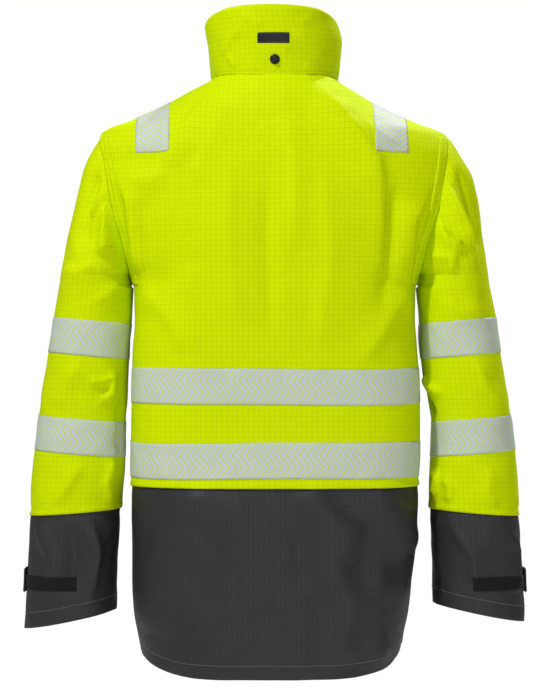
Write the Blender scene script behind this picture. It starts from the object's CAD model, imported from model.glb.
"""The looks of the high-visibility coat. Lengths are millimetres about the neck until shell() and
row() turn them into the row frame's metres."""

import math

import bpy
import numpy as np
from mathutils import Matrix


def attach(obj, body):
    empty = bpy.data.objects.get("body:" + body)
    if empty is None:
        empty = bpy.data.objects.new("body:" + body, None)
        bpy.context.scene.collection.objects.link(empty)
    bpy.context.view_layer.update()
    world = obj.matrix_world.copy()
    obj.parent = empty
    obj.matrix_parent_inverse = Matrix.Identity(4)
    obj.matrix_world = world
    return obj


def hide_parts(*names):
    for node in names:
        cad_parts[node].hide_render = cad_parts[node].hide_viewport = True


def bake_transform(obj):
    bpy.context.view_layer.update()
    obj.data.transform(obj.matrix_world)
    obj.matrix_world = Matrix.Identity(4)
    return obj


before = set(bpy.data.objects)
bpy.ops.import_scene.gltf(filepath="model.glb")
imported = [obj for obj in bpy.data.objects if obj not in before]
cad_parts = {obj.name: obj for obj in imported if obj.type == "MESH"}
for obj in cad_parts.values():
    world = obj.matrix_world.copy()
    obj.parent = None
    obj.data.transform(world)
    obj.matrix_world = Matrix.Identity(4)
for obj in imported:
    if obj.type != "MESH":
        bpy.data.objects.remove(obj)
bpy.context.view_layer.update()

NECK = np.array([0.0, 56.5, 12.0])
COLOUR_SEAM = -582.0
ARMHOLE_FOOT = -300
SLEEVE_POWER = 2.2


def row(points):
    """From millimetres about the neck to metres in the row frame."""
    return (np.asarray(points, float) - NECK) / 1000


def smooth(a, b, value):
    """0 at a, 1 at b, and smooth between them."""
    t = np.clip((np.asarray(value, float) - a) / (b - a), 0, 1)
    return t * t * (3 - 2 * t)


# ---------------------------------------------------------------- the body's and sleeves' forms


def front_y(z):
    """Where the centre front line is at height z; it leans back as it rises."""
    return -128.0 + (z + 812.0) * 32 / 862


class Form:
    """Stations by height, with a smooth curve through every column."""

    def __init__(self, rows):
        self.a = np.array(rows, float)
        step = np.hypot(np.diff(self.a[:, 0]), np.diff(self.a[:, 1]))
        self.s = np.concatenate([[0], np.cumsum(step)])
        self.m = np.gradient(self.a, self.s, axis=0)
        self.dense_s = np.linspace(0, self.s[-1], 4000)
        self.dense = self.at(self.dense_s)

    def at(self, s):
        s = np.clip(s, 0, self.s[-1])
        i = np.clip(np.searchsorted(self.s, s) - 1, 0, len(self.s) - 2)
        h = (self.s[i + 1] - self.s[i])[..., None]
        t = (s - self.s[i])[..., None] / h
        p, q, m, n = self.a[i], self.a[i + 1], self.m[i] * h, self.m[i + 1] * h
        return (
            (2 * t**3 - 3 * t**2 + 1) * p
            + (t**3 - 2 * t**2 + t) * m
            + (3 * t**2 - 2 * t**3) * q
            + (t**3 - t**2) * n
        )

    def s_of(self, z):
        return np.interp(z, self.dense[:, 0], self.dense_s)

    def by_z(self, z):
        """The columns after the height, at height z."""
        return [np.interp(z, self.dense[:, 0], self.dense[:, k]) for k in range(1, self.a.shape[1])]


TORSO = Form(
    [
        (-880, 180, front_y(-880), 121, 3.0),
        (-820, 186, front_y(-820), 120, 3.0),
        (-760, 196, front_y(-760), 119, 3.0),
        (-680, 203, front_y(-680), 118, 3.0),
        (-580, 207, front_y(-580), 118, 3.0),
        (-480, 207, front_y(-480), 118, 3.0),
        (-390, 204, front_y(-390), 120, 2.9),
        (-330, 201, front_y(-330), 121, 2.8),
        (-290, 204, front_y(-290), 121, 2.6),
        (-245, 226, front_y(-245), 121, 2.4),
        (-195, 250, front_y(-195), 119, 2.3),
        (-145, 262, front_y(-145), 115, 2.2),
        (-108, 262, front_y(-108), 110, 2.0),
        (-84, 249, front_y(-84), 105, 1.9),
        (-63, 203, -98, 99, 1.9),
        (-40, 152, -88, 93, 1.9),
        (-20, 117, -75, 84, 2.0),
        (-4, 92, -62, 72, 2.1),
        (6, 80, -54, 64, 2.2),
    ]
)
SLEEVE = Form(
    [
        (-840, 296.5, 66.5, 57),
        (-700, 291, 65, 58),
        (-620, 286.5, 65.5, 59),
        (-550, 281.5, 65.5, 61),
        (-470, 276, 62, 64),
        (-400, 268.5, 58.5, 67),
        (-345, 262.5, 55.5, 70),
        (-295, 256.5, 53.5, 72),
        (-215, 245.5, 50.5, 71),
        (-160, 241, 41, 63),
        (-125, 239, 31, 51),
        (-100, 240.5, 18.5, 34),
        (-87, 244, 8, 14),
    ]
)
ARMHOLE = [(247, -70), (246, -95), (242, -130), (231, -190), (215, -243), (208, -275), (206, -300)]


def arm_x(z):
    """How far out the armhole seam is at height z; far out where there's none."""
    a = np.array(ARMHOLE[::-1], float)
    x = np.interp(z, a[:, 1], a[:, 0])
    return np.where(np.asarray(z) < ARMHOLE_FOOT, 999.0, x)


def torso_at(s, angle):
    """A point on the body, s up its form; the angle is 0 at the left, and grows to the back."""
    s, angle = np.broadcast_arrays(s, angle)
    z, w, f, b, q = np.moveaxis(TORSO.at(s), -1, 0)
    c, n = np.cos(angle), np.sin(angle)
    k = (np.abs(c) ** q + np.abs(n) ** q) ** (1 / q)
    return np.stack([w * c / k, (f + b) / 2 + (b - f) / 2 * n / k, z], -1)


def torso_value(p):
    w, f, b, q = TORSO.by_z(p[..., 2])
    across, deep = np.abs(p[..., 0]) / w, np.abs(p[..., 1] - (f + b) / 2) / ((b - f) / 2)
    return across**q + deep**q


def sleeve_at(z, turn):
    """A point on the left sleeve: turn is 0 at the body's side, and goes by the back."""
    z, turn = np.broadcast_arrays(z, turn)
    cx, hw, hd = SLEEVE.by_z(z)
    c, n = np.cos(turn), np.sin(turn)
    k = (np.abs(c) ** SLEEVE_POWER + np.abs(n) ** SLEEVE_POWER) ** (1 / SLEEVE_POWER)
    return np.stack([cx - hw * c / k, hd * n / k, z + 0 * turn], -1)


def sleeve_value(p):
    cx, hw, hd = SLEEVE.by_z(p[..., 2])
    across, deep = np.abs(p[..., 0] - cx) / hw, np.abs(p[..., 1]) / hd
    return across**SLEEVE_POWER + deep**SLEEVE_POWER


def normals(p, value):
    """Unit outward directions from the slope of a form's value."""
    g = np.empty(p.shape)
    for axis in range(3):
        d = np.zeros(3)
        d[axis] = 0.5
        g[..., axis] = value(p + d) - value(p - d)
    g /= np.maximum(np.linalg.norm(g, axis=-1, keepdims=True), 1e-9)
    return g


# ---------------------------------------------------------------- folds


def fold(u, v, path, amount, left, right, ends=0.25):
    """A ridge (or, below zero, a valley) along a path, with its own width on each side."""
    path = np.array(path, float)
    lengths = np.linalg.norm(np.diff(path, axis=0), axis=1)
    total, done = lengths.sum(), 0.0
    best = np.full(np.shape(u), 1e9)
    signed, along = np.zeros(np.shape(u)), np.zeros(np.shape(u))
    for (a, b), length in zip(zip(path[:-1], path[1:]), lengths):
        d = (b - a) / length
        t = np.clip((u - a[0]) * d[0] + (v - a[1]) * d[1], 0, length)
        du, dv = u - a[0] - t * d[0], v - a[1] - t * d[1]
        far = np.hypot(du, dv)
        near = far < best
        best = np.where(near, far, best)
        signed = np.where(near, np.sign(du * d[1] - dv * d[0]), signed)
        along = np.where(near, (done + t) / total, along)
        done += length
    width = np.where(signed > 0, right, left)
    taper = smooth(0, ends, along) * smooth(0, ends, 1 - along)
    return amount * np.exp(-((best / width) ** 1.6)) * (0.15 + 0.85 * taper)


def ripples(u, v, seed, longest, count, amount, squeeze=1.0, tilt=0.0):
    """A gentle uneven surface: many waves with their own directions, bent by one another."""
    r = np.random.default_rng(seed)
    c, s = math.cos(tilt), math.sin(tilt)
    u, v = c * u + s * v, (c * v - s * u) * squeeze
    bent = u + 0.18 * longest * np.sin(v / (0.45 * longest) + seed)
    out = np.zeros(np.shape(u))
    for _ in range(count):
        length = longest * r.uniform(0.35, 1.0)
        turn = r.uniform(0, math.pi)
        phase = (bent * math.cos(turn) + v * math.sin(turn)) * 2 * math.pi / length
        wave = np.sin(phase + r.uniform(0, 6.28))
        out += wave * (length / longest)
    return amount * out / math.sqrt(count)


BACK_FOLDS = [
    ([(86, -26), (125, -85), (161, -139)], 4.4, 7, 22),
    ([(64, -30), (95, -110), (120, -170)], 1.8, 14, 22),
    ([(150, -142), (185, -150), (214, -146)], 2.2, 10, 16),
    ([(-59, -16), (-120, -88), (-141, -123), (-151, -183)], 4.4, 24, 8),
    ([(-84, -30), (-135, -80), (-176, -108)], 2.0, 20, 10),
    ([(-141, -150), (-150, -210), (-148, -300)], 1.8, 16, 10),
    ([(-14, -42), (-28, -140), (-25, -260)], 1.6, 12, 24),
    ([(12, -150), (10, -240), (4, -380)], -2.0, 14, 10),
    ([(60, -100), (66, -220), (52, -380)], 1.6, 26, 14),
    ([(-66, -120), (-78, -250), (-60, -400)], 1.8, 14, 24),
    ([(220, -152), (205, -180), (200, -222), (190, -300)], 5.0, 6, 18),
    ([(188, -150), (180, -230), (168, -330)], -2.6, 12, 16),
    ([(-212, -176), (-194, -206), (-190, -236), (-184, -300)], 5.0, 18, 6),
    ([(-181, -270), (-190, -300), (-186, -340)], 3.0, 12, 5),
    ([(-172, -150), (-160, -250), (-150, -340)], -2.4, 14, 12),
    ([(190, -300), (150, -345), (118, -400)], 1.6, 12, 16),
    ([(-190, -300), (-160, -350), (-120, -410)], 1.8, 16, 12),
    ([(120, -260), (112, -330), (118, -400)], 1.2, 18, 18),
    ([(84, -575), (139, -640), (172, -690)], 4.4, 16, 34),
    ([(57, -575), (45, -665), (52, -760)], 3.4, 30, 16),
    ([(100, -645), (132, -683), (156, -700)], 2.8, 14, 26),
    ([(20, -680), (60, -752), (86, -840)], 4.2, 18, 32),
    ([(124, -690), (157, -727), (176, -790)], 3.4, 16, 28),
    ([(92, -730), (112, -790), (134, -850)], 2.6, 18, 26),
    ([(2, -580), (-8, -680), (4, -830)], 2.6, 30, 20),
    ([(-38, -575), (-80, -630), (-110, -690)], 3.8, 34, 15),
    ([(-122, -622), (-84, -674), (-85, -734)], 3.8, 26, 14),
    ([(-138, -575), (-178, -630), (-200, -680)], 3.8, 26, 14),
    ([(-70, -680), (-110, -746), (-84, -840)], 4.2, 30, 17),
    ([(-150, -680), (-142, -750), (-152, -846)], 3.4, 28, 18),
    ([(-30, -700), (-42, -780), (-34, -850)], 2.6, 22, 26),
]
FRONT_FOLDS = [
    ([(80, -80), (125, -150), (165, -230)], 3.2, 12, 20),
    ([(200, -170), (188, -250), (172, -330)], 4.0, 10, 18),
    ([(120, -280), (112, -360), (118, -410)], 1.8, 18, 18),
    ([(-80, -80), (-120, -160), (-160, -240)], 3.4, 20, 12),
    ([(-196, -180), (-186, -250), (-170, -335)], 4.2, 18, 10),
    ([(-110, -300), (-118, -380), (-110, -420)], 1.8, 18, 18),
    ([(190, -600), (184, -700), (190, -800)], 2.4, 14, 14),
    ([(-190, -600), (-182, -690), (-192, -800)], 2.4, 14, 14),
]


def torso_folds(p):
    """How far the body's cloth stands off its form, at points on the form."""
    x, y, z = p[..., 0], p[..., 1], p[..., 2]
    behind = smooth(-30, 40, y)
    out = np.zeros(x.shape)
    for path, amount, left, right in BACK_FOLDS:
        size = amount * (3.8 if path[0][1] < -570 else 2.6)
        out += behind * fold(x, z, path, size, left, right)
    for path, amount, left, right in FRONT_FOLDS:
        out += (1 - behind) * fold(x, z, path, amount * 2.3, left, right)
    turn = np.arctan2(y, x)
    around = turn * 150
    calm = 0.35 + 0.65 * smooth(-20, -160, z)
    waves = ripples(around, z, 11, 210, 14, 1.5, 0.5)
    waves += ripples(around, z, 12, 70, 22, 0.45, 0.8, 0.4)
    skirt = smooth(-590, -830, z)
    waves += skirt * ripples(around, z, 13, 120, 12, 2.6, 0.18)
    flat_front = smooth(45, 90, np.abs(x)) * (1 - behind) + behind
    out = (out + waves * calm) * (0.15 + 0.85 * flat_front)
    # The left shoulder is a little higher, and the skirt sways to the left
    out += 5.0 * smooth(70, 130, x) * smooth(-125, -95, z)
    out += 6.0 * smooth(-600, -790, z) * x / 200
    out -= 3.0 * np.exp(-(((x - 207) / 16) ** 2) - ((z + 460) / 90) ** 2)
    # The two shoulder seams stand just behind the top of the shoulder
    out -= 0.9 * np.exp(-(((y - 27) / 2.0) ** 2)) * smooth(-125, -95, z)
    # No fold stands out further than the body's fullness allows
    out = np.where(out > 0, 12.0 * np.tanh(out / 12.0), 16.0 * np.tanh(out / 16.0))
    # It lies flat at the bottom of each armhole
    out *= 1 - np.exp(-(((np.abs(x) - 206) / 24) ** 2) - ((z + 298) / 24) ** 2)
    # Cloth is drawn in along the colour seam
    out -= 1.1 * np.exp(-(((z - COLOUR_SEAM) / 10.0) ** 2))
    return out


FRONT_SLEEVE_FOLDS = [
    ([(225, -395), (262, -420), (300, -430)], 4.6, 7, 12),
    ([(225, -440), (262, -450), (305, -462)], 4.2, 7, 12),
    ([(240, -470), (270, -500), (300, -520)], 3.0, 10, 12),
    ([(230, -200), (260, -260), (300, -300)], 3.4, 12, 18),
    ([(250, -640), (262, -700), (255, -750)], 2.4, 12, 12),
]
SLEEVE_FOLDS = {
    "left": [
        ([(95, -176), (93, -215), (92, -262)], 6.0, 5, 20),
        ([(116, -120), (128, -190), (122, -255)], -5.0, 18, 26),
        ([(94, -266), (125, -280), (158, -270)], 3.6, 8, 22),
        ([(97, -160), (112, -185), (126, -200)], 3.4, 7, 9),
        ([(50, -290), (70, -310), (95, -325)], 2.0, 8, 14),
        ([(64, -420), (53, -432), (54, -450), (68, -462)], 4.0, 4, 9),
        ([(58, -430), (72, -434), (86, -431)], 2.6, 4, 6),
        ([(30, -464), (23, -500), (32, -538)], -6.0, 9, 9),
        ([(100, -404), (122, -440), (132, -476)], 2.4, 10, 14),
        ([(45, -540), (53, -580), (42, -612)], 3.0, 7, 14),
        ([(88, -548), (104, -580), (122, -610)], 2.2, 12, 8),
        ([(150, -632), (126, -680), (116, -728)], 3.2, 8, 18),
        ([(70, -632), (58, -676), (66, -745)], 3.6, 14, 7),
        ([(96, -636), (90, -680), (94, -730)], -3.0, 12, 12),
    ],
    "right": [
        ([(100, -150), (108, -170), (127, -208), (137, -250)], 5.6, 5, 18),
        ([(76, -208), (95, -231), (117, -244)], 5.4, 4, 20),
        ([(55, -252), (96, -262), (90, -286)], 3.0, 7, 14),
        ([(128, -120), (146, -190), (152, -260)], -3.6, 14, 20),
        ([(70, -320), (100, -335), (140, -330)], 1.8, 12, 12),
        ([(0, -452), (14, -468), (34, -482)], -7.0, 8, 8),
        ([(10, -426), (30, -440), (60, -452)], 3.4, 6, 12),
        ([(110, -400), (120, -440), (150, -470)], 2.4, 14, 10),
        ([(20, -556), (38, -572), (30, -600)], 4.2, 5, 9),
        ([(52, -566), (62, -585), (58, -608)], 3.2, 5, 9),
        ([(120, -555), (110, -590), (124, -615)], 2.2, 12, 10),
        ([(60, -640), (86, -680), (92, -740)], 3.0, 16, 8),
        ([(140, -640), (160, -676), (150, -740)], 2.8, 9, 16),
    ],
}
SLEEVE_ROUND = 385.0


def sleeve_folds(turn, z, side):
    """How far a sleeve's cloth stands off its form; turn as in sleeve_at."""
    around = turn / (2 * math.pi) * SLEEVE_ROUND
    out = np.zeros(np.broadcast(turn, z).shape)
    for path, amount, left, right in SLEEVE_FOLDS[side] + FRONT_SLEEVE_FOLDS:
        for lap in (-SLEEVE_ROUND, 0, SLEEVE_ROUND):
            reach = [a + lap for a, _ in path]
            if max(reach) > -50 and min(reach) < SLEEVE_ROUND + 50:
                moved = [(a + lap, h) for a, h in path]
                out += fold(around, z, moved, amount * 2.3, left, right)
    lap = 2 * math.pi * around / SLEEVE_ROUND
    cx, cy = 61 * np.cos(lap), 61 * np.sin(lap)
    seed = 20 if side == "left" else 21
    out += ripples(cx + 0.8 * z, cy + 0.35 * z, seed, 120, 16, 1.2, 0.9)
    out += ripples(cx - 0.5 * z, cy + 0.9 * z, seed + 1, 52, 20, 0.35)
    # The head of each sleeve is full, and the right arm's is fuller lower down
    outer = 0.5 - 0.5 * np.cos(lap)
    if side == "left":
        out += 5.0 * outer * np.exp(-(((z + 112) / 28) ** 2))
    else:
        out += 8.0 * outer * np.exp(-(((z + 142) / 50) ** 2))
        out -= 11.0 * (1 - outer) ** 2 * np.exp(-(((z + 512) / 75) ** 2))
    calm = 0.25 + 0.75 * smooth(-92, -150, z)
    out *= calm * (1 - (1 - outer) ** 2 * np.exp(-(((z + 298) / 24) ** 2)))
    out -= 1.6 * np.exp(-(((z + 620) / 9.0) ** 2))
    return out


# ---------------------------------------------------------------- meshes

SHOWN = "_shown"


def shell(name, outer, inner, uv, closed=False):
    """A closed mesh between two grids of points, with one uv for each point of the grid.

    Its faces are turned over where its signed volume shows that they look inwards.
    """
    rows, cols = outer.shape[:2]
    count = rows * cols
    verts = row(np.concatenate([outer.reshape(-1, 3), inner.reshape(-1, 3)]))
    index = np.arange(count).reshape(rows, cols)
    nxt = np.roll(index, -1, axis=1) if closed else index[:, 1:]
    here = index if closed else index[:, :-1]
    quads = np.stack([here[:-1], nxt[:-1], nxt[1:], here[1:]], -1).reshape(-1, 4)
    faces = [quads, quads[:, ::-1] + count]
    for edge, way in ((0, -1), (rows - 1, 1)):
        a, b = here[edge], nxt[edge]
        rim = np.stack([a, b, b + count, a + count], -1)
        faces.append(rim[:, ::way])
    if not closed:
        for edge, way in ((0, 1), (cols - 1, -1)):
            a, b = index[:-1, edge], index[1:, edge]
            rim = np.stack([a, b, b + count, a + count], -1)
            faces.append(rim[:, ::way])
    faces = np.concatenate(faces)
    a, b, c, d = (verts[faces[:, k]] for k in range(4))
    volume = np.einsum("ij,ij->i", a, np.cross(b, c) + np.cross(c, d)).sum()
    if volume < 0:
        faces = faces[:, ::-1]
    uv = np.concatenate([uv.reshape(-1, 2)] * 2) / 1000
    return mesh_object(name, verts, faces, uv)


def mesh_object(name, verts, faces, uv=None, shade=True):
    """An object from vertices in row metres and faces."""
    mesh = bpy.data.meshes.new(name)
    faces = np.asarray(faces)
    mesh.from_pydata(np.asarray(verts).tolist(), [], faces.tolist())
    if uv is not None:
        layer = mesh.uv_layers.new(name="cloth")
        layer.data.foreach_set("uv", np.asarray(uv)[faces.reshape(-1)].astype(np.float32).ravel())
    mesh.update()
    if shade:
        mesh.polygons.foreach_set("use_smooth", [True] * len(mesh.polygons))
    ob = bpy.data.objects.new(name + SHOWN, mesh)
    bpy.context.scene.collection.objects.link(ob)
    return ob


def row_lengths(grid, start):
    """Distance along each row of a grid from the column start."""
    step = np.linalg.norm(np.diff(grid, axis=1), axis=-1)
    run = np.concatenate([np.zeros((grid.shape[0], 1)), np.cumsum(step, axis=1)], axis=1)
    return run - run[:, start : start + 1]


def finish_piece(ob, material, body=None, nodes=None):
    """Gives an object its material and slot, its body and the nodes it stands in for.

    With a body and no list of nodes, it stands in for the node of its own name.
    """
    ob.data.materials.append(material)
    if body:
        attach(ob, body)
    if nodes is None:
        nodes = [ob.name.removesuffix(SHOWN)]
    if nodes:
        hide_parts(*nodes)
    return ob


def cloth(base, closed):
    """Declares a piece as a sheet cut to the size of its form before it folds."""
    if closed:
        base = np.concatenate([base, base[:, :1]], 1)


def piece(name, outer, inner, uv, material, body=None, nodes=None, closed=False, sheet=None):
    """A finished shell, declared as a sheet the size of the grid given as sheet."""
    ob = finish_piece(shell(name, outer, inner, uv, closed), material, body, nodes)
    if sheet is not None:
        cloth(sheet, closed)
    return ob


def layer(base, low, high):
    """Inner and outer grids of a layer of the body's cloth, from low to high off its form."""
    n = normals(base, torso_value)
    d = torso_folds(base)
    return [base + n * (d + off)[..., None] for off in (low, high)]


# ---------------------------------------------------------------- materials


def nodes_of(name):
    m = bpy.data.materials.new(name)
    m.use_nodes = True
    tree = m.node_tree
    return m, tree, tree.nodes["Principled BSDF"]


def maths(tree, operation, a, b=None, c=None):
    n = tree.nodes.new("ShaderNodeMath")
    n.operation = operation
    for socket, value in zip(n.inputs, (a, b, c)):
        if value is None:
            continue
        if isinstance(value, (int, float)):
            socket.default_value = value
        else:
            tree.links.new(value, socket)
    return n.outputs[0]


def noise(tree, vector, scale, detail=3.0, rough=0.55):
    n = tree.nodes.new("ShaderNodeTexNoise")
    n.inputs["Scale"].default_value = scale
    n.inputs["Detail"].default_value = detail
    n.inputs["Roughness"].default_value = rough
    tree.links.new(vector, n.inputs["Vector"])
    return n.outputs[0]


def blend_colours(tree, amount, a, b):
    n = tree.nodes.new("ShaderNodeMix")
    n.data_type = "RGBA"
    for key, value in ((0, amount), (6, a), (7, b)):
        if isinstance(value, (int, float)):
            n.inputs[key].default_value = value
        elif isinstance(value, tuple):
            n.inputs[key].default_value = (*value, 1)
        else:
            tree.links.new(value, n.inputs[key])
    return n.outputs[2]


def lines(tree, value, pitch, width):
    """1 on thin lines at every pitch along value, and 0 between them."""
    part = maths(tree, "FRACT", maths(tree, "MULTIPLY", value, 1 / pitch))
    off = maths(tree, "ABSOLUTE", maths(tree, "SUBTRACT", part, 0.5))
    n = tree.nodes.new("ShaderNodeMapRange")
    n.interpolation_type = "SMOOTHSTEP"
    tree.links.new(off, n.inputs[0])
    n.inputs[1].default_value = 0.5 - width / pitch
    n.inputs[2].default_value = 0.5
    return n.outputs[0]


def bump(tree, shader, height, strength, distance):
    n = tree.nodes.new("ShaderNodeBump")
    n.inputs["Strength"].default_value = strength
    n.inputs["Distance"].default_value = distance
    tree.links.new(height, n.inputs["Height"])
    tree.links.new(n.outputs[0], shader.inputs["Normal"])


def uv_parts(tree):
    coords = tree.nodes.new("ShaderNodeTexCoord")
    split = tree.nodes.new("ShaderNodeSeparateXYZ")
    tree.links.new(coords.outputs["UV"], split.inputs[0])
    return coords, split.outputs[0], split.outputs[1]


def ripstop(name, colour, line, mottle, pitch, width, strength, rough, shine=0.03):
    """Coated cloth with a woven grid of thicker threads."""
    m, tree, shader = nodes_of(name)
    coords, u, v = uv_parts(tree)
    grid = maths(tree, "MAXIMUM", lines(tree, u, pitch, width), lines(tree, v, pitch, width))
    uneven = noise(tree, coords.outputs["UV"], 9, 4)
    patch = maths(tree, "MULTIPLY", noise(tree, coords.outputs["UV"], 420, 2), strength * 1.6)
    base = blend_colours(tree, uneven, colour, mottle)
    shown = maths(tree, "MULTIPLY", grid, patch)
    mixed = blend_colours(tree, shown, base, line)
    tree.links.new(mixed, shader.inputs["Base Color"])
    weave = maths(
        tree,
        "ADD",
        maths(tree, "SINE", maths(tree, "MULTIPLY", u, 2 * math.pi / 0.0011)),
        maths(tree, "SINE", maths(tree, "MULTIPLY", v, 2 * math.pi / 0.0011)),
    )
    fine = maths(tree, "MULTIPLY", weave, 0.12)
    puckers = maths(tree, "MULTIPLY", noise(tree, coords.outputs["UV"], 120, 5), 1.6)
    height = maths(tree, "ADD", maths(tree, "ADD", grid, fine), puckers)
    bump(tree, shader, height, 0.35, 0.0006)
    shader.inputs["Roughness"].default_value = rough
    shader.inputs["Specular IOR Level"].default_value = shine
    return m


def tape_material():
    """Silver segments of heat-transfer tape with the yellow cloth showing between them."""
    m, tree, shader = nodes_of("reflective tape")
    coords, u, v = uv_parts(tree)
    leg = 0.05 / 3
    zig = maths(tree, "MULTIPLY", maths(tree, "PINGPONG", v, leg), 0.86)
    gaps = lines(tree, maths(tree, "SUBTRACT", u, zig), 0.0093, 0.0024)
    cloudy = noise(tree, coords.outputs["UV"], 26, 3)
    silver = blend_colours(tree, cloudy, (0.44, 0.48, 0.58), (0.56, 0.60, 0.68))
    glints = noise(tree, coords.outputs["UV"], 900, 1)
    silver = blend_colours(tree, maths(tree, "MULTIPLY", glints, 0.25), silver, (0.66, 0.69, 0.74))
    mixed = blend_colours(tree, gaps, silver, (0.56, 0.72, 0.0))
    tree.links.new(mixed, shader.inputs["Base Color"])
    height = maths(tree, "SUBTRACT", 1.0, gaps)
    bump(tree, shader, height, 0.4, 0.0004)
    shader.inputs["Roughness"].default_value = 0.6
    shader.inputs["Specular IOR Level"].default_value = 0.2
    return m


def plain(name, colour, rough, metal=0.0, grain=900, depth=0.0002, spread=0.75):
    """A plain finish with a fine grain."""
    m, tree, shader = nodes_of(name)
    coords = tree.nodes.new("ShaderNodeTexCoord")
    value = noise(tree, coords.outputs["Object"], grain, 3)
    darker = tuple(c * spread for c in colour)
    tree.links.new(blend_colours(tree, value, darker, colour), shader.inputs["Base Color"])
    bump(tree, shader, value, 0.4, depth)
    shader.inputs["Roughness"].default_value = rough
    shader.inputs["Metallic"].default_value = metal
    shader.inputs["Specular IOR Level"].default_value = 0.3
    return m


YELLOW = ripstop(
    "yellow ripstop",
    colour=(0.63, 0.79, 0.0),
    line=(0.30, 0.43, 0.0),
    mottle=(0.60, 0.77, 0.0),
    pitch=0.0074,
    width=0.0006,
    strength=0.42,
    rough=0.62,
)
CHARCOAL = ripstop(
    "charcoal ripstop",
    colour=(0.031, 0.030, 0.032),
    line=(0.013, 0.013, 0.0135),
    mottle=(0.024, 0.0235, 0.0245),
    pitch=0.0074,
    width=0.0007,
    strength=0.6,
    rough=0.5,
    shine=0.28,
)
SILVER = tape_material()
BLACK = plain("black hook and loop", (0.005, 0.0055, 0.0065), 0.9, grain=1600, depth=0.0008)
LABEL = plain("black label", (0.010, 0.010, 0.014), 0.5, grain=2400, depth=0.0001)
METAL = plain("black lacquered brass", (0.022, 0.022, 0.026), 0.3, 0.4, grain=300, depth=0.00003)
PLASTIC = plain("black zip", (0.016, 0.016, 0.018), 0.45, grain=1500)
LINING = ripstop(
    "lining",
    colour=(0.30, 0.42, 0.01),
    line=(0.2, 0.3, 0.01),
    mottle=(0.26, 0.36, 0.01),
    pitch=0.003,
    width=0.0004,
    strength=0.3,
    rough=0.7,
)
YELLOW_THREAD = plain("yellow thread", (0.36, 0.52, 0.0), 0.7)
GREY_THREAD = plain("grey thread", (0.34, 0.34, 0.35), 0.7)

# ---------------------------------------------------------------- stitches


def resample(path, count=None, step=None):
    """A path's points spaced evenly, and each one's distance along it."""
    length = np.concatenate([[0], np.cumsum(np.linalg.norm(np.diff(path, axis=0), axis=1))])
    at = np.linspace(0, length[-1], count or max(2, int(length[-1] / step)))
    return np.stack([np.interp(at, length, path[:, k]) for k in range(3)], -1), at


def stitches(name, paths, material, body=None, step=3.6, long=2.5, thick=0.42):
    """Rows of stitches, each a short pointed bead of thread, along paths in millimetres."""
    verts, faces = [], []
    for path in paths:
        p, _ = resample(np.asarray(path, float), step=step)
        d = np.gradient(p, axis=0)
        d /= np.maximum(np.linalg.norm(d, axis=1, keepdims=True), 1e-9)
        side = np.cross(d, [0.31, 0.2, 0.93])
        side /= np.maximum(np.linalg.norm(side, axis=1, keepdims=True), 1e-9)
        up = np.cross(side, d)
        for c, a, s, u in zip(p, d, side, up):
            k = len(verts)
            verts += [c - a * long / 2, c + a * long / 2]
            verts += [c + s * thick, c + u * thick, c - s * thick, c - u * thick]
            for i in range(4):
                j = (i + 1) % 4
                faces += [(k, k + 2 + j, k + 2 + i), (k + 1, k + 2 + i, k + 2 + j)]
    ob = mesh_object(name, row(np.array(verts)), faces, shade=False)
    return finish_piece(ob, material, body, ())


# ---------------------------------------------------------------- the body

SIDES = (("left", 1), ("right", -1))
ROW_STEP = 3.2
SHOULDER_SEAM_Y = 10.0
S_SEAM = float(TORSO.s_of(COLOUR_SEAM))
COLLAR_POWER = 2.15


def collar_outline(z):
    """The collar's half width, and where its back and front are, at height z."""
    return 88 + z * 8 / 90, 68 + z * 9.5 / 90, front_y(z)


def collar_value(p):
    side, back, front = collar_outline(p[..., 2])
    mid, half = (back + front) / 2, (back - front) / 2
    across, deep = np.abs(p[..., 0]) / side, np.abs(p[..., 1] - mid) / half
    return across**COLLAR_POWER + deep**COLLAR_POWER


def neck_s(angle):
    """Where the body's surface meets the collar, along each angle."""
    s = np.linspace(TORSO.s_of(-150.0), TORSO.s[-1], 500)
    value = collar_value(torso_at(s[:, None], angle[None, :])) - 1
    inside = value < 0
    first = np.argmax(inside, axis=0)
    first = np.where(inside.any(axis=0), np.maximum(first, 1), len(s) - 1)
    j = np.arange(len(angle))
    a, b = value[first - 1, j], value[first, j]
    t = np.clip(a / np.where(np.abs(a - b) < 1e-9, 1, a - b), 0, 1)
    return s[first - 1] + t * (s[first] - s[first - 1])


NECK_ANGLES = np.linspace(-math.pi, math.pi, 721)
NECK_S = neck_s(NECK_ANGLES)


def neck_at(angle):
    return np.interp(angle, NECK_ANGLES, NECK_S)


def edge_angle(s, behind):
    """Angle, on the left, of a panel's edge at s: its side seam, armhole or shoulder seam."""
    angles = np.linspace(0, math.pi / 2, 600) if behind else np.linspace(0.35, -math.pi / 2, 800)
    p = torso_at(np.asarray(s)[:, None], angles[None, :])
    y = p[..., 1]
    near = y >= SHOULDER_SEAM_Y if behind else y <= SHOULDER_SEAM_Y
    return angles[np.argmax(near & (p[..., 0] <= arm_x(p[..., 2])), axis=1)]


def smoothed(values, times):
    for _ in range(times):
        inner = (values[:-2] + 2 * values[1:-1] + values[2:]) / 4
        values = np.concatenate([values[:1], inner, values[-1:]])
    return values


def beside_zip(p):
    """Draws the front's cloth out to the side of the zip."""
    p[..., 0] += 8.0 * np.exp(-np.maximum(p[..., 0], 0) / 14.0)
    return p


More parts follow.
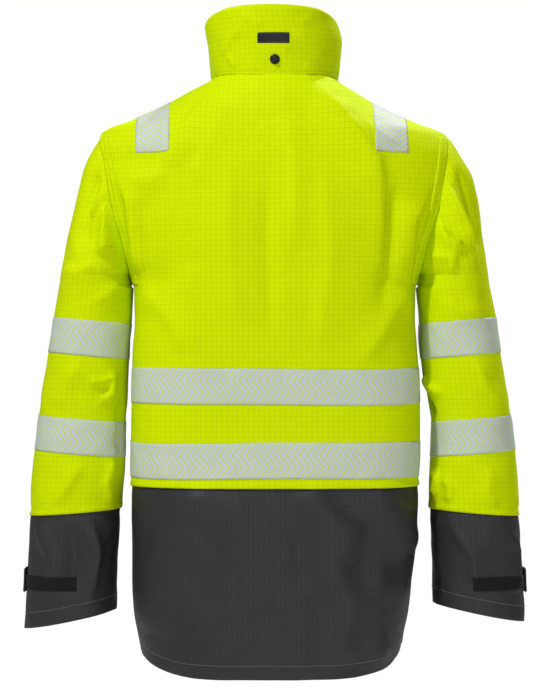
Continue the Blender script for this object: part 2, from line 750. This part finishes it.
def upper_base(behind):
    """The upper back, or the left upper front from the zip out to the side."""
    top = float(neck_at(math.pi / 2 if behind else 0.05))
    s = np.linspace(S_SEAM, top, int((top - S_SEAM) / ROW_STEP))
    edge = smoothed(edge_angle(s, behind), 1)[:, None]
    if behind:
        angle = edge + (math.pi - 2 * edge) * np.linspace(0, 1, 161)[None, :]
    else:
        angle = -math.pi / 2 + (edge + math.pi / 2) * np.linspace(0, 1, 81)[None, :]
    ramp = smooth(TORSO.s_of(-150.0 if behind else -300.0), top, s)[:, None]
    p = torso_at(s[:, None] + (neck_at(angle) - top) * ramp, angle)
    return p if behind else beside_zip(p)


def hem_z(y):
    """Height of the hem: level in front, lower behind."""
    return np.interp(
        y, [-200, 0, 30, 60, 80, 95, 110, 130], [-812, -812, -817, -826, -834, -840, -846, -850]
    )


def lower_base(angles):
    """The charcoal skirt between two angles, from the colour seam to the hem."""
    foot = torso_at(np.full(angles.shape, float(TORSO.s_of(-825.0))), angles)
    v = np.linspace(0, 1, 82)[:, None]
    z = -581.0 + (hem_z(foot[:, 1])[None, :] + 581.0) * v
    return torso_at(TORSO.s_of(z), np.broadcast_to(angles, z.shape))


def panel(name, base, across, low, high, material):
    """A panel from low to high off its form; across is the distance along its rows."""
    low, high = layer(base, low, high)
    uv = np.stack([across, base[..., 2]], -1)
    piece(name, high, low, uv, material, "coat", sheet=base)
    return high


def upper_panel(name, base, across):
    """A yellow panel, whose folded edge stands off the charcoal at the colour seam."""
    z = base[..., 2]
    lift = smooth(COLOUR_SEAM - 8, COLOUR_SEAM, z) * smooth(COLOUR_SEAM + 10, COLOUR_SEAM + 2, z)
    panel(name, base, across, -1.6 + lift * 2.0, lift * 2.1, YELLOW)


base = upper_base(True)
upper_panel("back_upper_panel", base, -row_lengths(base, 80))
side_angle = float(edge_angle(np.array([TORSO.s_of(-700.0)]), True)[0])
base = lower_base(np.linspace(side_angle, math.pi - side_angle, 161))
LOWER_BACK = panel("back_lower_panel", base, -row_lengths(base, 80), -2.2, -0.5, CHARCOAL)
upper_front = upper_base(False)
lower_front = beside_zip(lower_base(np.linspace(-math.pi / 2, side_angle, 81)))
for side, sign in SIDES:
    base = upper_front * [sign, 1, 1]
    upper_panel(f"front_upper_panel_{side}", base, row_lengths(base, 0))
    base = lower_front * [sign, 1, 1]
    panel(f"front_lower_panel_{side}", base, row_lengths(base, 0), -2.2, -0.5, CHARCOAL)

# The body's lining is one sheet from one side of the zip round to the other
angles = np.linspace(-math.pi / 2 + 0.16, math.pi * 1.5 - 0.16, 150)
top = neck_at((angles + math.pi) % (2 * math.pi) - math.pi)
foot = float(TORSO.s_of(-780.0))
s = foot + (top[None, :] - foot) * np.linspace(0, 1, 150)[:, None]
base = torso_at(s, np.broadcast_to(angles, s.shape))
base[..., 0] *= np.minimum(1.0, (arm_x(base[..., 2]) - 6) / np.maximum(np.abs(base[..., 0]), 1))
panel("body_lining", base, row_lengths(base, 75), -5.0, -3.8, LINING)

# ---------------------------------------------------------------- tapes and bands

for level, z0, z1 in (("upper", -415.0, -465.0), ("lower", -519.0, -569.0)):
    nodes = [f"back_tape_{level}", f"front_tape_{level}_left", f"front_tape_{level}_right"]
    angles = np.linspace(-math.pi / 2 + 0.045, 1.5 * math.pi - 0.045, 420)
    v = np.linspace(0, 1, 17)[:, None]
    drift = np.sin(angles * 2.3 + z0 * 0.03) + 0.5 * np.sin(angles * 5.1)
    z = z0 + (z1 - z0) * v + drift[None, :]
    base = torso_at(TORSO.s_of(z), np.broadcast_to(angles, z.shape))
    low, high = layer(base, 0.15, 0.75)
    across = -row_lengths(base, 210)
    uv = np.stack([across, np.broadcast_to(v * abs(z1 - z0), across.shape)], -1)
    piece(f"body_tape_{level}", high, low, uv, SILVER, "coat", nodes)


def torso_depth(x, z, behind):
    """Where the back or front of the body's form is, at x across and height z."""
    w, f, b, q = TORSO.by_z(z)
    reach = (b - f) / 2 * np.maximum(1 - np.minimum(np.abs(x) / w, 1) ** q, 0) ** (1 / q)
    return (f + b) / 2 + (reach if behind else -reach)


def shoulder_path(x):
    """Over the shoulder at x from the middle, from the back down to the front's upper tape."""
    pts = [(torso_depth(x, z, True), z) for z in np.linspace(-112, -104, 4)]
    heights = np.linspace(-104, 0, 900)
    w, f, b, q = TORSO.by_z(heights)
    for y in np.linspace(pts[-1][0], torso_depth(x, -104.0, False), 60)[1:]:
        value = (x / w) ** q + (np.abs(y - (f + b) / 2) / ((b - f) / 2)) ** q
        inside = np.nonzero(value <= 1)[0]
        pts.append((y, heights[inside[-1]] if len(inside) else -104.0))
    pts += [(torso_depth(x, z, False), z) for z in np.linspace(-106, -414, 100)]
    return resample(np.array([(x, y, z) for y, z in pts]), 190)


def armhole_strip(inset, behind):
    """Points on the body at a distance inside the armhole seam, from the top down."""
    z = np.linspace(-88, -296, 150)
    x = arm_x(z) - inset
    return np.stack([x, torso_depth(x, z, behind), z], -1)


band_paths = []
for side, sign in SIDES:
    xs = np.linspace(139, 187, 17) + (8 if sign > 0 else 0)
    strips, runs = zip(*(shoulder_path(x) for x in xs))
    run = np.stack(runs, 1)
    low, high = layer(np.stack(strips, 1) * [sign, 1, 1], 0.15, 0.8)
    uv = np.stack([run, np.broadcast_to(xs - xs[0], run.shape)], -1)
    piece(f"shoulder_tape_{side}", high, low, uv, SILVER, "coat")

    insets = np.linspace(0, 13, 9)
    halves = [(armhole_strip(k, True)[::-1], armhole_strip(k, False)) for k in insets]
    base = np.stack([np.concatenate(h) for h in halves], 1) * [sign, 1, 1]
    profile = 1.9 * np.array([0.55, 0.9, 1.0, 1.0, 0.92, 0.9, 1.0, 0.9, 0.45])
    low, high = layer(base, 0.1, np.broadcast_to(profile, base.shape[:2]))
    uv = np.stack([np.broadcast_to(insets, base.shape[:2]), base[..., 2]], -1)
    piece(f"armhole_band_{side}", high, low, uv, YELLOW, "coat")
    band_paths += [high[:, 4], high[:, 7]]
stitches("armhole_stitches", band_paths, YELLOW_THREAD, "coat")

# ---------------------------------------------------------------- collar


def collar_top(y):
    return np.interp(y, [-130, -60, 10, 60, 90], [54, 65, 82, 95, 100])


COLLAR_FOLDS = (
    ([(202, 20), (152, 62)], 2.4, 5, 9),
    ([(176, 12), (144, 36)], -1.8, 6, 8),
    ([(58, 26), (92, 70)], 2.2, 9, 5),
    ([(82, 10), (66, 30)], 2.0, 5, 7),
    ([(120, 66), (96, 84)], 1.6, 6, 8),
    ([(162, 70), (190, 86)], 1.4, 6, 8),
)


def collar_folds(angle, z):
    around = angle * 84
    out = ripples(around, z, 31, 90, 14, 0.9, 0.7)
    for path, amount, left, right in COLLAR_FOLDS:
        out += fold(around, z, path, amount, left, right)
    return out


def collar_base(angles, rows, top_trim=0.0):
    """The collar's form, up from where it meets the body's surface."""
    neck = torso_at(NECK_S, NECK_ANGLES)
    side, back, front = collar_outline(neck[:, 2])
    mid, half = (back + front) / 2, (back - front) / 2
    own = np.unwrap(np.arctan2((neck[:, 1] - mid) / half, neck[:, 0] / side))
    wrapped = (angles + math.pi) % (2 * math.pi) - math.pi
    foot = np.interp(wrapped, own, neck[:, 2], period=2 * math.pi)
    foot = smoothed(foot, 3) - 2.0
    v = np.linspace(0, 1, rows)[:, None]
    z = np.repeat(foot[None, :], rows, 0)
    c, n = np.cos(angles), np.sin(angles)
    k = (np.abs(c) ** COLLAR_POWER + np.abs(n) ** COLLAR_POWER) ** (1 / COLLAR_POWER)
    for _ in range(3):
        side, back, front = collar_outline(z)
        y = (back + front) / 2 + (back - front) / 2 * n / k
        z = foot[None, :] + (collar_top(y) - top_trim - foot[None, :]) * v
    x = side * c / k
    x = x * (1 + 0.045 * smooth(-25, 10, z) * smooth(90, 55, z)) + 5.0 * smooth(48, 88, z)
    return np.stack([x, y, z], -1)


angles = np.linspace(-math.pi / 2 + 0.09, 1.5 * math.pi - 0.09, 260)
v = np.linspace(0, 1, 44)[:, None, None]
roll = 1.6 * smooth(0.965, 1.0, v)
flare = 0.8 * (1 - smooth(0.0, 0.05, v))
for name, rows, trim, offsets, material in (
    ("collar_shell", 44, 0.0, (0.6 - roll + flare, -2.6 + roll), YELLOW),
    ("collar_lining", 30, 6.0, (-2.8, -4.6), LINING),
):
    base = collar_base(angles, rows, trim)
    n = normals(base, collar_value)
    d = collar_folds(np.broadcast_to(angles, base.shape[:2]), base[..., 2])[..., None]
    outer, inner = (base + n * (d + off) for off in offsets)
    uv = np.stack([row_lengths(base, 130), base[..., 2]], -1)
    piece(name, outer, inner, uv, material, "coat", sheet=base)
    if name == "collar_shell":
        neck_path = outer[2, 40:-40]


def on_collar(x, z, off):
    """A point on the back of the collar at x across and height z, standing off by off."""
    side, back, front = collar_outline(z)
    mid, half = (back + front) / 2, (back - front) / 2
    y = mid + half * np.maximum(1 - (np.abs(x) / side) ** COLLAR_POWER, 0) ** (1 / COLLAR_POWER)
    p = np.stack(np.broadcast_arrays(x, y, z), -1).astype(float)
    n = normals(p, collar_value)
    angle = np.arctan2((p[..., 1] - mid) / half, p[..., 0] / side)
    d = collar_folds(angle, p[..., 2])
    return p + n * (d + 0.6 + off)[..., None]


x, z = np.meshgrid(np.linspace(-20.5, 24.5, 40), np.linspace(58.5, 43.5, 16))
puff = 0.7 * np.minimum(1, np.minimum(22.5 - np.abs(x - 2), 7.5 - np.abs(z - 51)) / 1.5)
outer, inner = on_collar(x, z, 0.25 + puff), on_collar(x, z, 0.05)
piece("collar_patch", outer, inner, np.stack([x, z], -1), LABEL, "coat")
corners = [(-20.5, 57), (24.5, 57), (24.5, 45), (-20.5, 45), (-20.5, 57)]
t = np.linspace(0, 1, 20)
edges = [
    on_collar(x0 + (x1 - x0) * t, z0 + (z1 - z0) * t, 1.0)
    for (x0, z0), (x1, z1) in zip(corners[:-1], corners[1:])
]
stitches("label_stitches", edges, GREY_THREAD, "coat", 2.4, 1.6, 0.2)

# ---------------------------------------------------------------- hood stud


def lathe(name, centre, axis, profile, around=40):
    """A round piece from a profile of (radius, height along the axis), in millimetres."""
    side = np.cross(axis, [1.0, 0.0, 0.0])
    side /= np.linalg.norm(side)
    up = np.cross(axis, side)
    t = np.linspace(0, 2 * math.pi, around, endpoint=False)
    rings = [
        np.array(centre) + axis * h + np.outer(np.cos(t), side) * r + np.outer(np.sin(t), up) * r
        for r, h in profile
    ]
    faces = []
    for i in range(0, (len(profile) - 1) * around, around):
        for j in range(around):
            k = (j + 1) % around
            faces.append((i + j, i + k, i + around + k, i + around + j))
    return mesh_object(name, row(np.concatenate(rings)), faces)


STUD_Z = 21.0
stud_axis = np.array([0, 1, -9.5 / 90]) / math.hypot(1, 9.5 / 90)
profile = [(0.01, 0.1), (7.0, 0.2), (7.2, 0.9), (6.6, 1.7), (5.4, 2.1), (4.6, 1.7), (4.2, 1.5)]
profile += [(3.1, 1.6), (3.0, 2.0), (2.75, 3.2), (3.05, 4.4), (2.9, 5.3), (2.3, 5.8), (0.01, 5.9)]
foot = [0, 68 + STUD_Z * 9.5 / 90, STUD_Z]
finish_piece(lathe("hood_stud", foot, stud_axis, profile), METAL, "coat")

# ---------------------------------------------------------------- sleeves

SLEEVE_HALF = 60


def sleeve_rows(z, cols):
    """Left sleeve points in rows at the heights z, cut along the armhole and drawn to it."""
    turns = np.linspace(0, math.pi, 720)
    grid, angles = [], []
    for height in z:
        p = sleeve_at(np.full(720, height), turns)
        cut = height > ARMHOLE_FOOT
        start = turns[np.argmax(p[:, 0] > arm_x(height) - 0.5)] if cut else 0.0
        a = np.linspace(start, 2 * math.pi - start, cols)
        q = sleeve_at(np.full(cols, height), a)
        if start > 0:
            _, hw, hd = SLEEVE.by_z(height)
            for behind, end in ((True, 0), (False, -1)):
                want = torso_depth(min(q[end, 0], TORSO.by_z(height)[0]), height, behind)
                away = np.abs(a - a[end]) * (hw + hd) / 2
                near = np.exp(-away / 24.0) * smooth(0, 0.25, start)
                q[:, 1] += (want - q[end, 1]) * near
        grid.append(q)
        angles.append(a)
    return np.array(grid), np.array(angles)


def sleeve_cloth(base, turn, low, high, side, share=1.0):
    """Inner and outer grids of cloth on the left sleeve's form, mirrored for the right."""
    n = normals(base, sleeve_value)
    d = sleeve_folds(turn, base[..., 2], side) * share
    mirror = [1 if side == "left" else -1, 1, 1]
    return [(base + n * (d + off)[..., None]) * mirror for off in (low, high)]


def sleeve_layer(z, cols, low, high, side):
    """The upper sleeve's cloth, which lies flat where it's sewn to the armhole."""
    base, turn = sleeve_rows(z, cols)
    start = turn[:, :1]
    edge = np.minimum(turn - start, turn[:, -1:] - turn) * 55
    held = np.where(start > 0, smooth(0, 30, edge), 1.0)
    across = row_lengths(base, cols // 2) * (1 if side == "left" else -1)
    grids = sleeve_cloth(base, turn, low, high, side, 0.25 + 0.75 * held)
    return *grids, np.stack([across, base[..., 2]], -1)


def sleeve_band(z0, z1, tilt0, tilt1, rows, cols, low, high, side):
    """A closed band of the sleeve between two edges, each tilted by some degrees."""
    turn = np.linspace(0, 2 * math.pi, cols, endpoint=False)
    v = np.linspace(0, 1, rows)[:, None]
    top = z0 - math.sin(math.radians(tilt0)) * SLEEVE_HALF * np.cos(turn)
    bottom = z1 - math.sin(math.radians(tilt1)) * SLEEVE_HALF * np.cos(turn)
    z = top[None, :] + (bottom - top)[None, :] * v
    t = np.broadcast_to(turn, z.shape)
    base = sleeve_at(z, t)
    across = row_lengths(np.concatenate([base, base[:, :1]], 1), cols // 2)[:, :-1]
    across = across * (1 if side == "left" else -1)
    grids = sleeve_cloth(base, t, low, high, side)
    return *grids, np.stack([across, v * (top - bottom)[None, :]], -1)


def sleeve_patch(turn0, turn1, z0, z1, low, high, cols, rows, side):
    """A strip on the sleeve between two turns and two heights, thinner at its edges."""
    turn = np.linspace(turn0, turn1, cols)
    v = np.linspace(0, 1, rows)[:, None]
    z = z0 + (z1 - z0) * v + 0 * turn[None, :]
    t = np.broadcast_to(turn, z.shape)
    base = sleeve_at(z, t)
    edge_u = np.minimum(np.abs(t - turn0), np.abs(turn1 - t)) * SLEEVE_HALF
    edge_v = np.minimum(np.abs(z - z0), np.abs(z - z1))
    soft = np.minimum(1, np.minimum(edge_u, edge_v) / 1.2 + 0.25)
    across = row_lengths(base, 0)
    uv = np.stack([across, np.broadcast_to(v * abs(z1 - z0), across.shape)], -1)
    return *sleeve_cloth(base, t, low, low + (high - low) * soft, side), uv


PIECE_SPLIT = -372.0
upper_z = np.concatenate([np.linspace(-87.3, -150, 34), np.linspace(-152.5, PIECE_SPLIT, 84)])
edge_lift = (smooth(0.955, 0.99, np.linspace(0, 1, 84)) * 1.6)[:, None, None]
for side, sign in SIDES:
    sleeve, forearm, tab = f"sleeve_{side}", f"forearm_{side}", f"cuff_tab_{side}"
    cuff_end = -775.0 if side == "left" else -765.0
    for name, z, cols, low, high, material in (
        ("sleeve_upper", upper_z, 150, -1.6, 0.0, YELLOW),
        ("sleeve_lining_upper", upper_z[::3], 60, -4.6, -3.6, LINING),
    ):
        lo, hi, uv = sleeve_layer(z, cols, low, high, side)
        ob = piece(f"{name}_{side}", hi, lo, uv, material, sheet=hi)
        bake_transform(ob)
    for name, end, tilt, rows, cols, low, high, material in (
        ("sleeve_forearm", -621, -5, 84, 150, -1.6, 0.0, YELLOW),
        ("sleeve_lining_forearm", -742, -13, 60, 60, -4.6, -3.6, LINING),
    ):
        lo, hi, uv = sleeve_band(PIECE_SPLIT + 2, end, 0, tilt, rows, cols, low, high, side)
        if name == "sleeve_forearm":
            off = (hi - lo) / 1.6 * edge_lift
            lo, hi = lo + off, hi + off
        ob = piece(f"{name}_{side}", hi, lo, uv, material, closed=True, sheet=hi)
        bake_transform(ob)
    for level, z0, z1, body in (
        ("upper", -347.0, -397.0, sleeve),
        ("lower", -487.0, -537.0, forearm),
    ):
        lo, hi, uv = sleeve_band(z0, z1, 5, 5, 17, 150, 0.15, 0.75, side)
        piece(f"sleeve_tape_{level}_{side}", hi, lo, uv, SILVER, body, closed=True)

    lo, hi, uv = sleeve_band(-618.5, cuff_end, -5, -13, 54, 150, -2.0, -0.4, side)
    piece(f"cuff_{side}", hi, lo, uv, CHARCOAL, forearm, closed=True, sheet=hi)
    _, line, _ = sleeve_band(cuff_end + 22, cuff_end + 21, -13, -13, 2, 150, -1.0, 0.05, side)
    stitches(f"cuff_stitches_{side}", [line[0]], GREY_THREAD, forearm)

    # The loop strip on the cuff's back, and the tab that wraps to it from the front
    lo, hi, uv = sleeve_patch(1.40, 2.95, -711, -731, -0.3, 1.3, 60, 9, side)
    piece(f"cuff_loop_{side}", hi, lo, uv, BLACK, forearm)
    lo, hi, uv = sleeve_patch(2.98, 4.78, -702, -738, 2.4, 4.8, 70, 15, side)
    piece(f"cuff_tab_{side}", hi, lo, uv, CHARCOAL, tab, sheet=hi)
    lo, hi, uv = sleeve_patch(3.0, 3.5, -712, -730, 1.4, 2.45, 20, 7, side)
    piece(f"cuff_hook_{side}", hi, lo, uv, BLACK, tab)

# ---------------------------------------------------------------- stitches on the body

stitches("hem_stitches", [LOWER_BACK[75]], GREY_THREAD, "coat")
angles = np.linspace(0.1, math.pi - 0.1, 300)
base = torso_at(np.full(300, float(TORSO.s_of(-578.0))), angles)
stitches("seam_stitches", [layer(base, 0, 0.9)[1]], YELLOW_THREAD, "coat")
stitches("neck_stitches", [neck_path], YELLOW_THREAD, "coat")

# ---------------------------------------------------------------- front flap, zip, loop

SLOPE = 32 / 862
UP = np.array([0, SLOPE, 1]) / math.hypot(1, SLOPE)
OUT = np.array([0, -1, SLOPE]) / math.hypot(1, SLOPE)


def on_front(x, up, out):
    """A point beside the centre front line: across, up the line and outward."""
    x, up, out = np.broadcast_arrays(np.asarray(x, float), up, out)
    start = np.stack([x, np.full(x.shape, front_y(0.0)), 0 * x], -1)
    return start + up[..., None] * UP + out[..., None] * OUT


# The flap's two ends have corners rounded to a radius of 10 mm
rows_up = np.linspace(-105, -775, 210)
corner = np.minimum(np.minimum(-105 - rows_up, rows_up + 775), 10.0)
inset = (10 - np.sqrt(np.maximum(100 - (10 - corner) ** 2, 0)))[:, None]
x = (-36 + inset) + (78 - inset) * np.linspace(0, 1, 30)[None, :]
up = np.broadcast_to(rows_up[:, None], x.shape)
edge = np.minimum(1, np.minimum(x + 36 - inset, 42 - x) / 2.0)
high = on_front(x, up, 7.0 + edge * 1.0 + ripples(x, up, 41, 120, 12, 0.5, 0.4))
low = on_front(x, up, 5.2 + 0 * x)
piece("storm_flap", high, low, np.stack([x, up], -1), YELLOW, "storm_flap", sheet=high)
paths = [high[4:-4, 2], high[4:-4, 27]]
stitches("storm_flap_stitches", paths, YELLOW_THREAD, "storm_flap")
grid = np.meshgrid(np.linspace(38, 42, 3), np.linspace(-105, -775, 60))
root, foot = on_front(*grid, 5.3), on_front(*grid, 0.6)
uv = np.zeros(root.shape[:2] + (2,))
piece("storm_flap_root", root, foot, uv, YELLOW, "storm_flap", ())
for k, (z0, z1) in enumerate(((-415.5, -465.5), (-519.5, -569.5))):
    x, up = np.meshgrid(np.linspace(-35.5, 41.5, 30), np.linspace(z0, z1, 17))
    wave = ripples(x, up, 41, 120, 12, 0.5, 0.4)
    outer, inner = on_front(x, up, 8.5 + wave), on_front(x, up, 7.9 + wave)
    uv = np.stack([x, z0 - up], -1)
    piece(f"flap_tape_{k}", outer, inner, uv, SILVER, "storm_flap", ["flap_tapes"])


def bar(name, x, up, out, material, body, nodes):
    """A box beside the front line with softened edges."""
    centre = [(k[0] + k[1]) / 2 for k in (x, up, out)]
    half = [(k[1] - k[0]) / 2 for k in (x, up, out)]
    bpy.ops.mesh.primitive_cube_add(size=2)
    ob = bpy.context.object
    ob.name = name + SHOWN
    for vert in ob.data.vertices:
        c = [m + h * k for m, h, k in zip(centre, half, vert.co)]
        vert.co = row(on_front(*c)).tolist()
    mod = ob.modifiers.new("soft", "BEVEL")
    mod.width = min(0.3, 0.8 * min(half)) / 1000
    mod.segments = 3
    finish_piece(ob, material, body, nodes)


for height in (-150, -255, -360, -492, -630, -735):
    span = (height - 19, height + 19)
    for kind, out, body in (("loop", (0.4, 1.6), "coat"), ("hook", (3.8, 5.2), "storm_flap")):
        name = f"{kind}_pad_{-height}"
        bar(name, (-33, -13), span, out, BLACK, body, [f"flap_{kind}_pads"])

QUADS = [(0, 1, 3, 2), (4, 6, 7, 5), (0, 4, 5, 1), (2, 3, 7, 6), (0, 2, 6, 4), (1, 5, 7, 3)]
CUBE = np.array([(a, b, c) for a in (-1, 1) for b in (-1, 1) for c in (-1, 1)], float)
TOOTH = np.array([1.35, 0.85, 1.3])
for side, sign in SIDES:
    nodes = [f"zip_half_{side}"]
    xs = tuple(sorted((sign * 2.4, sign * 18.0)))
    bar(f"zip_tape_{side}", xs, (-790, 52), (-5.0, -4.2), PLASTIC, "coat", nodes)
    verts, faces = [], []
    for height in np.arange(-786, 48, 3.0):
        faces += [tuple(len(verts) + i for i in q) for q in QUADS]
        verts += list(on_front(*(CUBE * TOOTH + [sign * 1.95, height, -4.6]).T))
    ob = mesh_object(f"zip_teeth_{side}", row(np.array(verts)), faces, shade=False)
    finish_piece(ob, PLASTIC, "coat", nodes)
for name in ("zip_slider", "zip_pull"):
    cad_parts[name].data.materials.clear()
    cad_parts[name].data.materials.append(METAL)

# The hanger loop is a webbing arch, its feet turned down to the neck seam
LOOP_RADIUS = 23.2
t = np.linspace(0, math.pi, 40)
arch_z = 12 - 22.4
arch = np.stack([LOOP_RADIUS * np.cos(t), 0 * t, arch_z + LOOP_RADIUS * np.sin(t)], -1)
legs = np.linspace(-22, arch_z - 1, 6)
right_leg = np.stack([np.full(6, LOOP_RADIUS), 0 * legs, legs], -1)
left_leg = np.stack([np.full(6, -LOOP_RADIUS), 0 * legs, legs[::-1]], -1)
line = np.concatenate([right_leg, arch, left_leg])
out = np.array([line[:, 0], 0 * line[:, 0], np.maximum(line[:, 2] - arch_z, 0)]).T
out /= np.maximum(np.linalg.norm(out, axis=1, keepdims=True), 1e-6)
out = out[:, None, :] * 0.8
across = np.linspace(-4, 4, 9)
grid = line[:, None, :] + np.array([0, 1.0, 0]) * across[None, :, None] + np.array([0, 56.5, 0])
uv = np.stack(np.meshgrid(across, np.arange(len(line))), -1)
piece("hanger_loop", grid + out, grid - out, uv, BLACK, "coat")

# ---------------------------------------------------------------- pockets


def pocket_grid(x0, x1, z0, z1, cols, rows):
    """Points and outward directions on the left front, between two x and two heights."""
    x, z = np.meshgrid(np.linspace(x0, x1, cols), np.linspace(z0, z1, rows))
    p = np.stack([x, torso_depth(x, z, False), z], -1)
    return p, normals(p, torso_value)


for side, sign in SIDES:
    mirror = [sign, 1, 1]
    base, n = pocket_grid(54, 174, -624, -784, 70, 90)
    x, z = base[..., 0], base[..., 2]
    full = np.clip(np.minimum(np.minimum(x - 54, 174 - x) / 3.0, (z + 784) / 3.0), 0, 1)
    puff = 1.2 + 12.3 * full + ripples(x, z, 51, 90, 10, 0.6) * full
    outer = (base + n * puff[..., None]) * mirror
    inner = (base + n * np.maximum(puff - 1.8, 0.2)[..., None]) * mirror
    uv = np.stack([x, z], -1)
    piece(f"pocket_{side}", outer, inner, uv, CHARCOAL, "coat", sheet=outer)
    base, n = pocket_grid(50, 178, -598, -656, 60, 34)
    x, z = base[..., 0], base[..., 2]
    rise = 1.6 + 15.2 * smooth(-598, -602, z) + ripples(x, z, 61, 80, 8, 0.35)
    outer = (base + n * rise[..., None]) * mirror
    inner = (base + n * np.maximum(rise - 1.9, 0.9)[..., None]) * mirror
    uv, flap = np.stack([x, z], -1), f"pocket_flap_{side}"
    piece(flap, outer, inner, uv, CHARCOAL, flap, sheet=outer)
    paths = [outer[3, 2:-2], outer[-4, 2:-2]]
    stitches(f"pocket_flap_stitches_{side}", paths, GREY_THREAD, flap)

# ---------------------------------------------------------------- camera, light and floor

scene = bpy.context.scene
camera_data = bpy.data.cameras.new("camera")
camera_data.lens = 120.7
camera_data.sensor_width = 36
camera = bpy.data.objects.new("camera", camera_data)
camera.location = (0.009, 3.262, -0.392)
camera.rotation_euler = (math.radians(90), 0, math.radians(180))
scene.collection.objects.link(camera)
scene.camera = camera

scene.view_settings.view_transform = "Standard"
world = bpy.data.worlds.new("studio")
world.use_nodes = True
tree = world.node_tree
background = tree.nodes["Background"]
background.inputs[0].default_value = (1, 1, 1, 1)
rays = tree.nodes.new("ShaderNodeLightPath")
strength = maths(tree, "MULTIPLY_ADD", rays.outputs["Is Camera Ray"], 0.78, 0.24)
tree.links.new(strength, background.inputs[1])
scene.world = world


def area_light(name, where, target, size, power):
    data = bpy.data.lights.new(name, "AREA")
    data.shape, data.size, data.energy = "DISK", size, power
    ob = bpy.data.objects.new(name, data)
    ob.location = where
    d = np.array(target) - np.array(where)
    ob.rotation_euler = (math.atan2(math.hypot(d[0], d[1]), -d[2]), 0, math.atan2(-d[0], d[1]))
    scene.collection.objects.link(ob)


for end in (1, -1):
    area_light(f"key_{end}", (1.5 * end, 1.8 * end, 2.5), (0, 0, -0.4), 0.3, 92)
    area_light(f"fill_{end}", (-0.7 * end, 3.3 * end, 0.1), (0, 0, -0.4), 1.0, 22)

bpy.ops.mesh.primitive_plane_add(size=8, location=(0, 0, -1.6))
floor = bpy.context.object
floor.name = "floor"
pale = bpy.data.materials.new("floor")
pale.use_nodes = True
pale.node_tree.nodes["Principled BSDF"].inputs["Base Color"].default_value = (0.98, 0.98, 0.98, 1)
pale.node_tree.nodes["Principled BSDF"].inputs["Roughness"].default_value = 0.9
floor.data.materials.append(pale)
